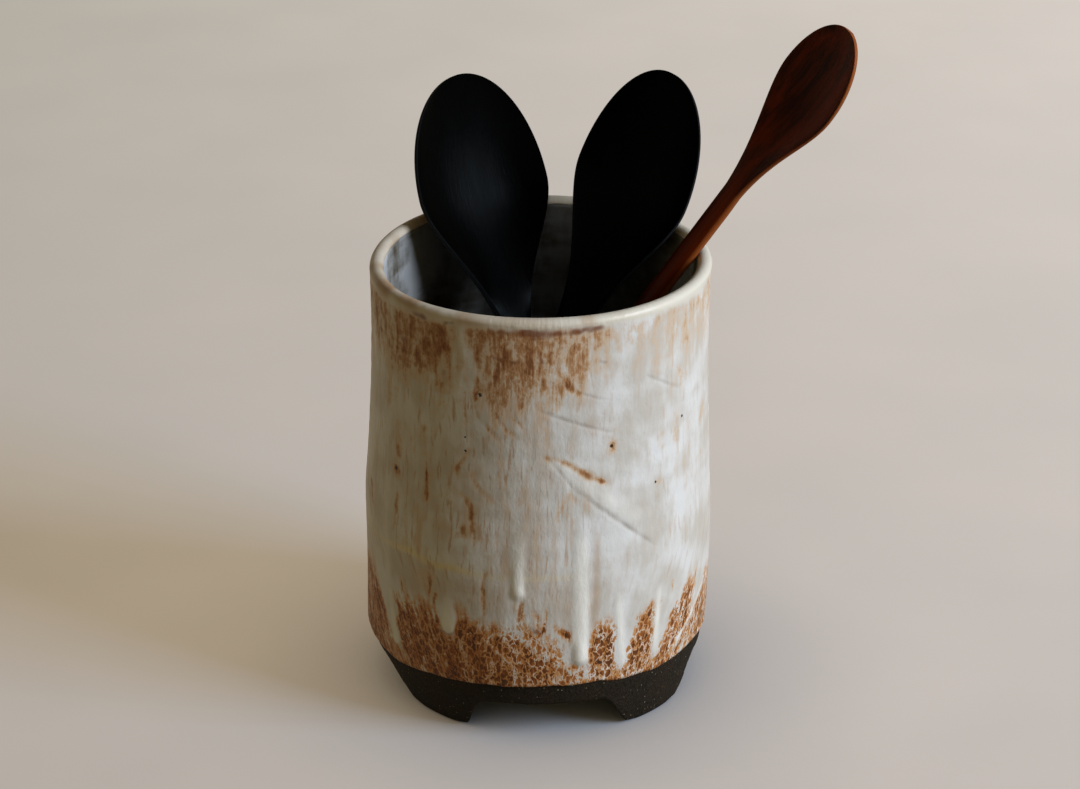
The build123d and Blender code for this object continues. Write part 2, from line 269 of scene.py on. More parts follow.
# Grit in the bare clay and the facets that the trimming knife left
grit_depth, knife_depth, under_grit_depth = 0.17, 0.35, 0.12
outside_rows = disc_rows + ring_rows + tread_rows + foot_wall_rows + hidden_rows
outside = (np.arange(len(radius)) < outside_rows)[:, None]
on_wall = outside & (np.arange(len(radius)) >= disc_rows)[:, None]
grit = mottle(angle, height + radius, 2.4, 1.8, 12) + 0.6 * mottle(angle, height + radius, 1.5, 1.1, 13) - 0.8
knife = mottle(angle, height, 26, 9, 14) - 0.5
off_axis = eased(radius, 2, 12) * (height > 0.3)
bare = on_wall & (height < glaze_line_height + 3)
radius = radius + off_axis * np.where(bare, grit_depth * grit + knife_depth * knife, 0)
radius = radius + np.where(on_wall, wobble(angle, height), 0)
height = height + np.where(outside & ~on_wall, under_grit_depth * grit * off_axis, 0)
points = lathe_points(angle, radius, height)
points[..., 0] += np.where(on_wall, hand_drift(angle, height), 0) * mm
clay = make_piece("clay_foot_and_wall", points, False, "crock", "clay_body", "bare_clay")


def linear(code):
    """Linear RGBA of an sRGB hex colour: each value over 12.92 up to 0.04045, and a power of 2.4 above it."""
    channels = [int(code[i : i + 2], 16) / 255 for i in (1, 3, 5)]
    curve = [c / 12.92 if c <= 0.04045 else ((c + 0.055) / 1.055) ** 2.4 for c in channels]
    return curve + [1.0]


def add(material, kind, inputs, **settings):
    """Adds one node of a kind, written without its ShaderNode prefix, with settings for its properties and
    values or links for its inputs. Gives its outputs."""
    made = material.node_tree.nodes.new("ShaderNode" + kind)
    for name, value in settings.items():
        setattr(made, name, value)
    for key, value in inputs.items():
        if isinstance(value, bpy.types.NodeSocket):
            material.node_tree.links.new(value, made.inputs[key])
        else:
            made.inputs[key].default_value = value
    return made.outputs


def new_material(name, piece=None):
    """An empty node material, given to a piece."""
    material = bpy.data.materials.new(name)
    material.use_nodes = True
    material.node_tree.nodes.clear()
    if piece is not None:
        piece.data.materials.append(material)
    return material


def finish_material(material, shader, bump):
    """A Principled surface with these inputs, and a bump from (height socket, distance in metres) on it."""
    relief, depth = bump
    normal = add(material, "Bump", {"Height": relief, "Distance": depth, "Strength": 1.0})["Normal"]
    surface = add(material, "BsdfPrincipled", {**shader, "Normal": normal})["BSDF"]
    add(material, "OutputMaterial", {"Surface": surface})


# Reduced dark stoneware, trimmed and left bare. It is matt and near black, with a gritty skin of fired
# sand: a few grains show as pale or rusty points about half a millimetre wide.
material = new_material("bare_dark_stoneware", clay)
place = add(material, "TexCoord", {})["Object"]
grain_size, patch_size, grog_size = 0.9, 12.0, 1.5
grain = add(material, "TexNoise", {"Vector": place, "Scale": 1 / (grain_size * mm), "Detail": 4.0})[0]
patch = add(material, "TexNoise", {"Vector": place, "Scale": 1 / (patch_size * mm), "Detail": 3.0})[0]
grog = add(material, "TexVoronoi", {"Vector": place, "Scale": 1 / (grog_size * mm)})
point = add(material, "MapRange", {0: grog["Distance"], 1: 0.2, 2: 0.1})[0]
lucky = add(material, "SeparateColor", {0: grog["Color"]})[0]
chosen = add(material, "MapRange", {0: lucky, 1: 0.7, 2: 0.85, 4: 0.8})[0]
speck = add(material, "Math", {0: point, 1: chosen}, operation="MULTIPLY")[0]
tone = add(material, "MapRange", {0: patch, 1: 0.3, 2: 0.7})[0]
dark, warm, sand = linear("#1d1a16"), linear("#2a231b"), linear("#b3aa92")
ground = add(material, "Mix", {0: tone, 6: dark, 7: warm}, data_type="RGBA")[2]
shade = add(material, "MapRange", {0: grain, 1: 0.32, 2: 0.68, 3: 0.4, 4: 1.5})[0]
gritty = add(material, "VectorMath", {0: ground, "Scale": shade}, operation="SCALE")[0]
color = add(material, "Mix", {0: speck, 6: gritty, 7: sand}, data_type="RGBA")[2]
shader = {"Base Color": color, "Roughness": 0.75, "Specular IOR Level": 0.15}
finish_material(material, shader, (grain, 0.5 * mm))

# Outside glaze. An off-white, iron-breaking glaze, dipped twice, so that a cream line shows low on the
# wall. It is about 0.8 mm thick, with thicker runs and beads, and ends in a soft roll above the foot. Where
# it lies thin it breaks to tan and rust in upright streaks, with pinholes and scratches.
coat = 0.8
glaze_columns, wall_rows, lip_rows, return_rows = 390, 226, 14, 12
front_crowding = 0.3
turn = np.arange(glaze_columns) / glaze_columns * 2 * math.pi - math.pi
angle = np.degrees(turn - front_crowding * np.sin(turn))

# Height of the glaze's lower edge round the crock, by angle, and how the lip sinks at the left
edge_height = np.interp(
    angle,
    [-180, -120, -80, -54, -44, -34, -21, -9, 6, 21, 30, 45, 65, 90, 130, 180],
    [25.5, 24.0, 25.0, 22.6, 24.6, 25.7, 26.7, 26.6, 27.5, 27.7, 26.1, 25.5, 26.9, 25.0, 27.0, 25.5],
)
edge_wander = 0.9
edge_height = edge_height + edge_wander * (mottle(angle, 0 * angle, 7, 50, 21) - 0.5)

# Thick runs of glaze: [angle, height] of their upper and lower ends, width, how proud the lower end stands,
# and how white the run is from its top
runs = [
    dict(top=(13.8, 106), foot=(14.7, 41.5), width=7.4, proud=1.6, cover=0.7),
    dict(top=(-6.6, 100), foot=(-6, 73.5), width=6.2, proud=1.1, cover=0.35),
    dict(top=(-57.6, 63), foot=(-53, 36), width=5.0, proud=0.3, cover=0.5),
    dict(top=(-29.5, 68), foot=(-29, 53), width=6.5, proud=0.25, cover=0.4),
    dict(top=(-96, 120), foot=(-95, 60), width=5.0, proud=0.7, cover=0.4),
    dict(top=(118, 110), foot=(117, 48), width=6.4, proud=1.0, cover=0.4),
    dict(top=(158, 92), foot=(157, 66), width=5.6, proud=0.8, cover=0.3),
    dict(top=(-150, 100), foot=(-148, 41), width=6.0, proud=1.0, cover=0.5),
]


def near_line(angle, height, start, end):
    """Distance in mm over the wall from a straight line between two places, and the share along it."""
    per_degree = math.radians(1) * belly_radius
    beside = (np.remainder(angle - start[0] + 180, 360) - 180) * per_degree
    along, up = (end[0] - start[0]) * per_degree, end[1] - start[1]
    share = np.clip((beside * along + (height - start[1]) * up) / (along**2 + up**2), 0, 1)
    return np.hypot(beside - along * share, height - start[1] - up * share), share


def run_relief(angle, height, run):
    """How far a run stands out: a soft bar, 1 less off squared to the power 1.4, that ends in a bead."""
    off, share = near_line(angle, height, run["top"], run["foot"])
    half = run["width"] / 2 * (0.8 + 0.2 * share + 0.1 * eased(share, 0.9, 1))
    body = np.clip(1 - (off / half) ** 2, 0, 1) ** 1.4
    return run["proud"] * body * (0.14 + 0.26 * eased(share, 0.1, 0.8) + 0.6 * eased(share, 0.82, 0.98))


def slanted(angle, height):
    """The angle that the running glaze came from: low on the sides its streaks lean in towards the front."""
    level, straight_above = 45, 80
    lean = np.interp(np.abs(angle), [0, 18, 37, 60, 85, 135, 180], [0, 0, 0.17, 0.34, 0.4, 0.25, 0])
    return angle - np.sign(angle) * lean * (np.minimum(height, straight_above) - level)


# The rust band under the lip, by angle: the height where it ends and its strength
band_angle = [
    -180, -140, -100, -78, -60, -54, -50, -33, -30, -24, -21.5, -10, 5, 12, 19, 25, 45, 66, 80, 112, 150,
    180,
]
band_foot = [
    168, 160, 165, 167, 168, 164, 162, 162, 168, 168, 159, 162, 163, 168, 171, 174, 175, 172, 170, 160, 168,
    168,
]
band_strength = [
    0.5, 0.54, 0.44, 0.46, 0.48, 0.54, 0.58, 0.58, 0.22, 0.2, 0.54, 0.58, 0.54, 0.44, 0.32, 0.2, 0.24, 0.3,
    0.24, 0.5, 0.54, 0.5,
]

# The rust over the foot, by the angle that it ran from: the height that it reaches and its strength
skirt_angle = [
    -180, -150, -120, -96, -78, -72, -64, -60.5, -58, -53, -50.5, -45, -38, -33, -31, -27, -25, -20, -14,
    -11, -4, 3, 9, 12, 17, 18.5, 23, 26.5, 28, 30.5, 33, 37.5, 41.5, 43.5, 46, 49, 55, 60, 62, 65, 70, 80,
    92, 112, 124, 150, 180,
]
skirt_top = [
    50, 58, 44, 58, 61, 63, 63, 56, 36, 35, 59, 60, 59, 58, 50, 51, 61, 62, 58, 55, 57, 56, 50, 36, 34, 50,
    58, 52, 36, 35, 53, 61, 58, 36, 35, 55, 64, 63, 50, 52, 56, 54, 58, 60, 44, 58, 50,
]
skirt_strength = [
    0.75, 0.8, 0.7, 0.75, 0.7, 0.72, 0.72, 0.6, 0.4, 0.4, 0.74, 0.79, 0.8, 0.78, 0.76, 0.78, 0.8, 0.82,
    0.82, 0.76, 0.74, 0.74, 0.68, 0.55, 0.5, 0.8, 0.86, 0.8, 0.4, 0.4, 0.74, 0.8, 0.76, 0.4, 0.4, 0.72,
    0.74, 0.7, 0.5, 0.62, 0.68, 0.66, 0.75, 0.8, 0.7, 0.8, 0.75,
]

# Strokes of rust where the coat is thin: two ends, width and strength
rust_marks = [
    ((-58, 152), (-58, 142), 2.4, 0.34), ((-54, 137), (-53, 121), 2.6, 0.38),
    ((-42.5, 140), (-42, 124), 2.2, 0.3), ((-42, 127), (-41.5, 108), 2.6, 0.46),
    ((-38.5, 131), (-37.5, 118), 2.0, 0.26), ((-54.5, 106), (-54, 88), 2.4, 0.38),
    ((-46.5, 101), (-45, 84), 2.2, 0.22), ((-28.6, 160), (-28.4, 148), 2.4, 0.42),
    ((-25, 143), (-25, 139), 1.8, 0.4), ((-25.2, 135), (-24, 121), 2.4, 0.3),
    ((-25.5, 115), (-25, 96), 2.5, 0.42), ((-19, 126), (-18, 113), 2.0, 0.28),
    ((-20, 158), (-18.6, 149), 1.8, 0.4), ((-19, 150), (-14.6, 142), 2.2, 0.44),
    ((-11, 154), (-10.5, 144), 2.0, 0.42), ((-6, 152), (-5.8, 148), 1.8, 0.32),
    ((-17, 101), (-16.5, 90), 1.8, 0.24), ((11, 173), (11.5, 162), 1.8, 0.6),
    ((8, 170), (7.8, 157), 1.6, 0.24), ((8.5, 122), (8, 106), 2.2, 0.34),
    ((5, 134.4), (17, 124), 2.4, 0.85), ((16, 124.6), (22, 120.4), 1.8, 0.75),
    ((7, 122), (12, 114), 1.4, 0.36), ((55, 164), (54, 154), 2.4, 0.38),
    ((49.5, 142), (48.5, 127), 2.2, 0.3), ((44, 137), (43.5, 130), 1.8, 0.24),
    ((73, 137), (67, 131), 4.5, 0.34), ((66, 120), (70, 108), 1.6, 0.26),
    ((17.6, 73), (17.2, 62), 1.8, 0.6), ((-38, 76), (-36.6, 62), 1.8, 0.42),
    ((-34, 67), (-33, 56), 2.0, 0.62), ((-48, 66), (-47, 55), 2.2, 0.62),
    ((-17.2, 81), (-17, 62), 2.0, 0.4), ((-7, 69), (-7, 55), 2.2, 0.6), ((-3, 64), (-2, 48), 2.4, 0.6),
    ((2, 65), (0, 50), 2.6, 0.7), ((7, 57), (10, 50), 2.8, 0.75), ((-76, 101), (-70, 97), 1.8, 0.46),
    ((-70, 97), (-66, 90), 1.8, 0.5), ((24.4, 139), (24.8, 134.4), 3.2, 0.6),
    ((-54.7, 117.4), (-55.4, 114), 4.0, 0.6), ((41.6, 116), (41.8, 114), 2.4, 0.4),
    ((-25, 136.4), (-25, 133), 2.4, 0.5), ((-20, 163), (-19.6, 157), 3.4, 0.62),
    ((50, 66), (47, 60), 2.0, 0.5), ((95, 150), (96, 100), 3.0, 0.4), ((125, 140), (127, 104), 2.6, 0.4),
    ((160, 150), (161, 112), 3.2, 0.45), ((-120, 150), (-121, 116), 3.0, 0.4),
    ((-160, 140), (-158, 96), 2.8, 0.4), ((-90, 140), (-88, 96), 2.4, 0.35),
]

# Broad faint stains of tan: two ends, width and strength
stains = [
    ((4, 151), (23, 146), 9, 0.3), ((-22, 157), (-4, 157), 8, 0.34), ((-8, 116), (6, 92), 20, 0.32),
    ((-1, 142), (5, 118), 12, 0.32), ((-40, 150), (-37, 96), 18, 0.3), ((-20, 142), (-19, 96), 16, 0.26),
    ((-58, 116), (-55, 115.6), 3.6, 0.5), ((-78, 97), (-68, 92), 14, 0.34), ((68, 137), (80, 133), 9, 0.3),
    ((-57, 150), (-55, 90), 12, 0.28), ((24, 137), (24, 133.5), 3.6, 0.42),
    ((50, 163), (51, 122), 12, 0.12), ((-28, 74), (-8, 70), 16, 0.34), ((2, 82), (6, 66), 12, 0.16),
    ((110, 150), (130, 100), 26, 0.25), ((160, 140), (170, 90), 24, 0.25),
    ((-110, 150), (-120, 95), 28, 0.28), ((-150, 130), (-150, 90), 24, 0.22),
    ((-76, 184), (-33, 183), 20, 0.42), ((-21, 183), (12, 185), 20, 0.4), ((-21, 168), (6, 167), 14, 0.3),
    ((20, 185), (76, 183), 18, 0.14), ((-78, 168), (-36, 166), 14, 0.2), ((19.4, 98), (19, 45), 4, 0.44),
    ((9.4, 100), (9.8, 44), 4, 0.44), ((-2, 104), (-1, 66), 9, 0.4), ((-11, 100), (-11, 66), 6, 0.36),
    ((-48, 68), (-26, 68), 12, 0.4), ((-54, 70), (-36, 66), 8, 0.25), ((26, 96), (25, 62), 9, 0.16),
    ((34, 168), (46, 150), 8, 0.1),
]

# Pale bands where the coat is thick but flat: two ends, width and strength
pale_bands = [
    ((-26.5, 196), (-26, 172), 4.4, 0.5), ((-26, 172), (-29, 157), 3.4, 0.5),
    ((3, 134), (35, 101), 8.0, 0.55), ((27.2, 68), (29.6, 33), 3.2, 0.8),
    ((43.6, 66), (42.4, 36), 3.2, 0.8), ((74, 54), (50, 31), 2.2, 0.75), ((-4, 52), (10, 37), 2.6, 0.35),
    ((-60, 106), (-57.5, 60), 6.0, 0.5), ((-7, 100), (-6.4, 74), 4.4, 0.35), ((62, 70), (66, 36), 2.2, 0.4),
    ((-18, 52), (-8, 40), 1.4, 0.35), ((-40, 44), (-30, 34), 1.2, 0.3),
]

# Scratches in the glaze, grey where the clay glints through: two ends, width and strength
scratches = [
    ((0, 155.6), (24, 143.4), 1.5, 0.7), ((11, 120.5), (41, 87), 1.6, 0.85),
    ((37, 165.4), (53, 153.6), 1.3, 0.6), ((2, 136), (14, 115), 1.1, 0.4),
    ((12, 163.4), (21, 158.6), 1.1, 0.5), ((118, 128), (146, 118), 0.9, 0.5),
    ((-128, 96), (-108, 84), 0.9, 0.45),
]

# Burnt edges under the lip, and dark spots in the rust: two ends, width and strength
burnt_marks = [
    ((-46, 190.6), (-41, 189.6), 2.8, 0.7), ((-33, 189.8), (-29.6, 191), 1.7, 0.7),
    ((-17, 189.7), (-8, 190.5), 2.6, 0.6), ((-9, 190.3), (4, 190.1), 3.4, 0.85),
    ((4, 190.1), (20, 191.2), 2.8, 0.75), ((-5, 187), (3, 188.4), 1.4, 0.45),
    ((-15.4, 178), (-12, 177.5), 2.2, 0.7), ((-9.4, 177), (-7, 177), 2.2, 0.6),
    ((-3.4, 180), (-3, 176.6), 2.4, 0.6), ((-0.4, 180), (0.6, 177), 2.2, 0.6),
    ((-52, 177), (-51.5, 174.6), 3.8, 0.6), ((-68, 173), (-66, 172.6), 2.2, 0.7),
    ((-44.4, 169.4), (-43, 167.6), 3.0, 0.6), ((-33.2, 168), (-32.8, 163.6), 2.6, 0.6),
    ((-44, 181), (-43, 173), 2.6, 0.42), ((-37, 181), (-36, 176), 2.6, 0.42),
    ((-34.6, 188), (-33, 183), 3.2, 0.5), ((19.4, 176), (22, 175.4), 1.8, 0.5),
    ((-10, 173), (-9, 168), 2.0, 0.42), ((3, 172), (3.4, 167), 1.8, 0.36),
    ((-32.4, 50.4), (-29, 49.4), 1.6, 0.7), ((-29, 49.4), (-26.4, 51.6), 1.5, 0.7),
    ((-1, 57), (2, 54), 2.8, 0.62), ((9, 55.6), (10.4, 54.6), 2.2, 0.6),
    ((-13.6, 57), (-13.4, 55.8), 1.8, 0.7), ((15.6, 125.4), (17.2, 124), 1.8, 0.7),
    ((120, 190), (170, 190.5), 1.2, 0.8), ((-150, 190), (-100, 191), 1.2, 0.7),
]

# Fine upright threads of tan all over the wall, by angle
thread_angle = [-180, -100, -78, -62, -46, -12, 2, 20, 36, 50, 64, 80, 120, 180]
thread_strength = [0.8, 0.6, 0.35, 0.6, 0.8, 0.9, 0.7, 0.4, 0.2, 0.4, 0.3, 0.3, 0.7, 0.8]

# How plainly the cream net parts the rust over the foot, by angle
net_angle, net_strength = [-180, -84, -52, -20, 2, 16, 84, 180], [0.6, 0.55, 0.5, 0.6, 0.85, 0.9, 0.85, 0.6]

# The cream line where the second dip ended, by angle: its height, and how plainly it shows
tide_angle = [-180, -110, -60, -45, -36, -28, -14, 5, 20, 42, 90, 140, 180]
tide_height = [80, 77, 79, 82, 79.6, 81, 79.6, 80.4, 80, 81, 77, 82, 80]
tide_mark_angle = [-180, -100, -60, -47, -28, -12, 8, 25, 60, 100, 180]
tide_mark_strength = [0.4, 0.5, 0.4, 0.9, 0.8, 0.4, 0.3, 0.1, 0.05, 0.3, 0.4]

# How tan the lip is, by angle, the heights where the lip begins and is whole, and the middle of the height
# where the rust changes from that of the band to that of the foot
lip_tan_angle = [-180, -90, -45, 5, 40, 80, 130, 180]
lip_tan_strength = [0.5, 0.8, 0.75, 0.6, 0.15, 0.05, 0.4, 0.5]
lip_begins, lip_whole, low_line = 189, 194, 58

# Where the burnt edges stop at the lip, where the threads begin and are whole, and how strong the rust of the
# glaze's lower edge is
burnt_stops, threads_begin, threads_whole, hem_strength = 192.7, 56, 74, 0.62


def marks(angle, height, table, fade=0.5):
    """Soft strokes: strength times a bell curve of the distance from each line, the strongest one counting.
    Each thins out towards its ends."""
    total = 0 * (angle + height)
    for start, end, width, strength in table:
        off, share = near_line(angle, height, start, end)
        taper = 1 - fade + fade * np.sqrt(4 * share * (1 - share))
        total = np.maximum(total, strength * taper * np.exp(-((off / (0.62 * width)) ** 2)))
    return total


def paint_glaze(angle, height):
    """Masks from 0 to 1 over the glaze: rust where it is thin, low over the foot, the net that parts the
    rust there, thick where it pooled, burnt edges, grey scratches, stains together with painted shade (faint
    tan clouds on the side away from the window), threads, the tide of the second dip and the lip. Each is a
    table by angle or a set of strokes, times mottles that break it up."""
    upright = 0.6 * mottle(angle, height, 2.8, 24, 31) + 0.4 * mottle(angle, height, 1.9, 8, 32)
    strayed = angle + 9 * (mottle(angle, height, 9, 16, 46) - 0.5)
    rim_height = height + lip_sink(angle)
    source = slanted(angle, height) + 3 * (mottle(angle, height, 5, 7, 47) - 0.5)
    patchy = 0.6 * mottle(source, height, 9, 10, 33) + 0.4 * mottle(source, height, 4.5, 5, 34)
    ragged = 11 * (mottle(angle, 0 * height, 4, 50, 35) - 0.5) + 9 * (mottle(angle, height, 9, 14, 36) - 0.5)
    foot = np.interp(strayed, band_angle, band_foot) + ragged
    band = np.interp(strayed, band_angle, band_strength) * eased(height, foot - 16, foot + 12)
    band = band * (0.5 + 0.45 * patchy + 0.5 * upright)
    tips = 8 * (mottle(source, 0 * height, 3.4, 50, 37) - 0.5) + 6 * (mottle(source, height, 6, 7, 38) - 0.5)
    head = np.interp(source, skirt_angle, skirt_top) + tips
    below_head = 1 - eased(height, head - 9, head + 7)
    skirt = np.interp(source, skirt_angle, skirt_strength) * below_head * (0.68 + 0.6 * patchy)
    hem = hem_strength * (1 - eased(height - edge_height, 1, 6))
    broken = 0.4 + 0.9 * mottle(angle, height, 2.6, 7, 48)
    strokes = 1.7 * marks(strayed, height, rust_marks) * (0.3 + 0.9 * upright) * broken
    thready = 0.55 * mottle(angle, height, 2.3, 17, 49) + 0.45 * mottle(angle, height, 4.6, 34, 50)
    threaded = np.interp(angle, thread_angle, thread_strength) * eased(height, threads_begin, threads_whole)
    threads = eased(thready, 0.5, 0.85) * threaded
    thick = 0 * strokes
    for run in runs:
        off, share = near_line(angle, height, run["top"], run["foot"])
        reach = run["width"] / 2 * (0.9 + 0.3 * mottle(angle, height, 8, 6, 40))
        cover = run["cover"] + (1 - run["cover"]) * eased(share, 0.2, 0.95)
        cover = cover * eased(share, 0.0, 0.25)
        thick = np.maximum(thick, cover * (1 - eased(off, 0.3 * reach, 1.35 * reach)))
    thick = np.maximum(thick, marks(angle, height, pale_bands, 0.6) * (0.7 + 0.5 * upright))
    above_tide = height - np.interp(angle, tide_angle, tide_height)
    tide_strength = np.interp(angle, tide_mark_angle, tide_mark_strength)
    tide_line = np.exp(-((above_tide / 1.7) ** 2)) + 0.35 * np.exp(-(((above_tide - 3.5) / 4.5) ** 2))
    tide_line = tide_line * 1.05 * tide_strength * (0.4 + 0.8 * mottle(angle, height, 12, 30, 41))
    burnt = marks(angle, height, burnt_marks, 0.3) * (0.4 + 0.85 * mottle(angle, height, 2.4, 1.6, 43))
    grey = marks(angle, height, scratches, 0.7) * (0.5 + 0.7 * mottle(angle, height, 5, 4, 44))
    # Painted shade: faint tan clouds on the left and back, away from the window, none on the lit right front.
    side_away_from_window = 1 - eased(angle, -5, 45) * (1 - eased(angle, 85, 130))
    painted_shade_clouds = 0.32 * side_away_from_window * mottle(angle, height, 12, 22, 39) ** 2
    stain_and_shade = np.maximum(marks(angle, height, stains, 0.3), painted_shade_clouds)
    stain_and_shade = stain_and_shade * (0.45 + 0.8 * mottle(angle, height, 3.6, 14, 45))
    lip_edge = rim_height + 3 * (mottle(angle, 0 * height, 9, 50, 42) - 0.5)
    lip = eased(lip_edge, lip_begins, lip_whole)
    low = eased(low_line - height, -14, 6) + 0 * angle
    lip_tan = np.interp(angle, lip_tan_angle, lip_tan_strength)
    lip_tan = lip_tan * (0.3 + 0.9 * mottle(angle, height, 7, 5, 54))
    net = low * np.interp(angle, net_angle, net_strength)
    bare = (1 - lip) * (1 - 0.85 * thick)
    stain_and_shade = np.clip(np.maximum(stain_and_shade, 0.5 * threads), 0, 1) * bare + lip * lip_tan
    burnt = burnt * (1 - eased(rim_height, burnt_stops, lip_whole)) * (1 - 0.8 * thick)
    rust = np.maximum(np.maximum(band, skirt), np.maximum(strokes, hem)) + 0.2 * threads + 0.11 * threaded
    return dict(
        rust=rust * bare, low=low, net=net, thick=thick * (1 - lip), burnt=burnt, grey=grey * bare,
        stain_and_shade=stain_and_shade, thread=threaded * bare, lip=lip,
        tide=np.clip(tide_line, 0, 1) * (1 - lip) * (1 - 0.7 * below_head),
    )


# The wall of glaze: the clay's outline, plus a coat that swells to a bead at its lower edge and tucks in
# under it, less what is broken away, plus the runs. It calms down to an even coat at the lip.
edge_round, bead_proud, bead_high, hem_tuck = 1.3, 0.4, 1.7, 1.0
calm_begins, calm_whole, calm_share = 186, 191, 0.2
share = np.linspace(0, 1, wall_rows)[:, None]
lip_centre = lip_height - lip_sink(angle)
wall_height = edge_height + (lip_centre - edge_height) * share
masks = paint_glaze(angle, wall_height)
over_edge = np.clip((wall_height - edge_height) / edge_round, 0, 1)
roll = np.sqrt(1 - (1 - over_edge) ** 2)
bead = bead_proud * np.exp(-(((wall_height - edge_height - bead_high) / 1.5) ** 2))
relief = coat + bead - 0.22 * masks["rust"] - 0.25 * masks["burnt"] - 0.4 * masks["grey"]
relief = relief + 0.15 * masks["tide"]
relief = relief + 0.3 * (mottle(angle, wall_height, 2.8, 4, 51) - 0.5) * masks["rust"]
relief = relief + 0.14 * (mottle(angle, wall_height, 5, 16, 52) - 0.5) + 0.12 * masks["thick"]
for run in runs:
    relief = np.maximum(relief, coat * 0.95 + run_relief(angle, wall_height, run))
still = 1 - eased(wall_height, calm_begins, calm_whole)
relief = coat + (relief - coat) * still
wall_radius = outside_radius(np.minimum(wall_height + lip_sink(angle) * share, lip_height)) + relief * roll
wall_radius = wall_radius - hem_tuck * (1 - roll)
wall_radius = wall_radius + wobble(angle, wall_height) * (calm_share + (1 - calm_share) * still)

# Over the lip, a half round that waves a little, and back down behind the wall
lip_reach, lip_waviness, behind_wall = lip_round + coat, 0.25, 1.5
lip_turn = np.radians(np.linspace(8, 180, lip_rows))[:, None]
lip_wave = lip_waviness * (mottle(angle, 0 * angle + 190, 30, 50, 53) - 0.5)
over_radius = lip_middle_radius + lip_reach * np.cos(lip_turn) + lip_wave * (1 + np.cos(lip_turn)) / 2
over_height = lip_centre + (lip_reach - lip_waviness * (1 + 2 * lip_wave)) * np.sin(lip_turn)
share = np.linspace(0, 1, return_rows)[:, None]
return_height = lip_centre - 0.6 + (edge_height + 0.9 - lip_centre + 0.6) * share
return_radius = outside_radius(np.clip(return_height, 0, lip_height)) - behind_wall
return_calm = calm_share + (1 - calm_share) * (return_height < 188)
return_radius = return_radius + wobble(angle, return_height) * return_calm

# All of it is pressed softly inwards where it would pass the widest radius or the widest point at the left
press_from, press_to, pressed = 75.2, 77.4, 0.7
radius = np.concatenate([wall_radius, over_radius, return_radius])
radius = radius - pressed * eased(radius, press_from, press_to)
height = np.concatenate([wall_height, over_height, return_height])
points = lathe_points(angle, radius, height)
points[..., 0] += hand_drift(angle, height) * mm
widest_left, give = -75.8 * mm, 0.6 * mm
past = np.maximum(widest_left - points[..., 0], 0)
points[..., 0] += past - give * (1 - np.exp(-past / give))
masks = paint_glaze(angle, height)

# On the lip, and behind it, the only masks are the lip and its stain
on_lip = np.zeros_like(height)
on_lip[wall_rows:] = 1
masks["lip"] = np.maximum(masks["lip"], on_lip)
flow = lathe_points(slanted(angle, height), belly_radius, height)
unrolled = np.stack(np.broadcast_arrays(np.radians(angle) * belly_radius, height, 0 * height), -1) * mm
outside_glaze = make_piece(
    "outside_glaze_coat", points, True, "crock", "outer_glaze", "outside_glaze", flow=flow, unrolled=unrolled,
    **{mask: values * (1 if mask in ("lip", "stain_and_shade") else 1 - on_lip) for mask, values in masks.items()},
)

# Iron-breaking satin glaze. Opaque white where thick, tan and then rust-brown where it runs thin over the
# clay, with near-black specks of iron. Satin, so that it shows soft highlights on the lip and the beads.
material = new_material("broken_white_satin_glaze", outside_glaze)
mask = {
    name: add(material, "Attribute", {}, attribute_name=name)["Fac"]
    for name in ("rust", "low", "net", "thick", "burnt", "grey", "stain_and_shade", "thread", "tide", "lip")
}
flow = add(material, "Attribute", {}, attribute_name="flow")["Vector"]
sheet = add(material, "Attribute", {}, attribute_name="unrolled")["Vector"]
place = add(material, "TexCoord", {})["Object"]
streak_width, hair_width, cell_width, blot_width, cloud_width, warp_width = 4.5, 1.4, 2.5, 2.6, 22.0, 1.8
streaky, hairy, squat = (
    add(material, "Mapping", {0: flow, 3: (1.0, 1.0, drawn_out)})[0] for drawn_out in (0.22, 0.12, 0.62)
)
streak = add(material, "TexNoise", {0: streaky, 2: 1 / (streak_width * mm), 3: 5.0, 4: 0.6})[0]
hair = add(material, "TexNoise", {0: hairy, 2: 1 / (hair_width * mm), 3: 3.0, 4: 0.6})[0]
blot = add(material, "TexNoise", {0: squat, 2: 1 / (blot_width * mm), 3: 4.0, 4: 0.6})[0]
cloud = add(material, "TexNoise", {0: place, 2: 1 / (cloud_width * mm), 3: 4.0, 4: 0.5})[0]
bent = add(material, "TexNoise", {0: squat, 2: 1 / (warp_width * mm), 3: 3.0})["Color"]
shift = add(material, "VectorMath", {0: bent, 1: (0.5, 0.5, 0.5)}, operation="SUBTRACT")[0]
warp_reach = (4.0 * mm,) * 3
warped = add(material, "VectorMath", {0: shift, 1: warp_reach, 2: squat}, operation="MULTIPLY_ADD")[0]
edges = add(material, "TexVoronoi", {0: warped, 2: 1 / (cell_width * mm)}, feature="DISTANCE_TO_EDGE")[0]
cells = add(material, "TexVoronoi", {0: warped, 2: 1 / (cell_width * mm)})
lot = add(material, "SeparateColor", {0: cells["Color"]})[0]

